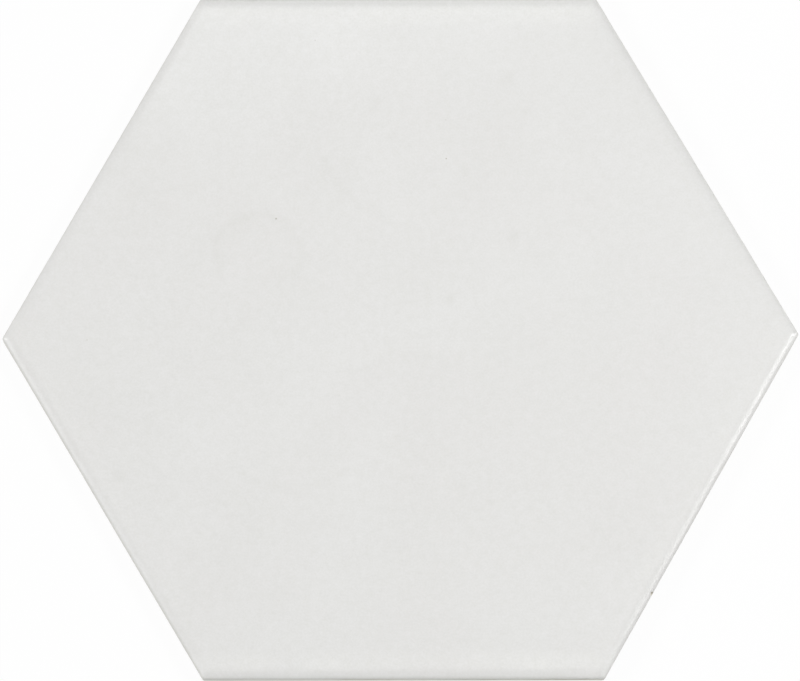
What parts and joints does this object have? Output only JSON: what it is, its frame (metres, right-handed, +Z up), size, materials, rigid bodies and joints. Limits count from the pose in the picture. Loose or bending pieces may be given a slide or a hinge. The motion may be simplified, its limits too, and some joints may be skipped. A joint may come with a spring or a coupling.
{
  "type": "hexagon floor tile",
  "caption": "Regular hexagonal porcelain floor tile with a soft rolled edge round its glazed face and a shallow honeycomb keyed back.",
  "frame": {"origin": "middle of the back, on the plane that the tile rests on", "axes": "+Z up, out of the glazed face; +X from the middle to one corner; +Y from the middle to one flat side, square to it"},
  "size_m": [0.3288, 0.285, 0.009],
  "materials": {
    "white_glazed_porcelain": "satin-matt white glaze on a pressed porcelain body"
  },
  "bodies": {
    "root": {"tile": "white_glazed_porcelain"}
  },
  "joints": []
}
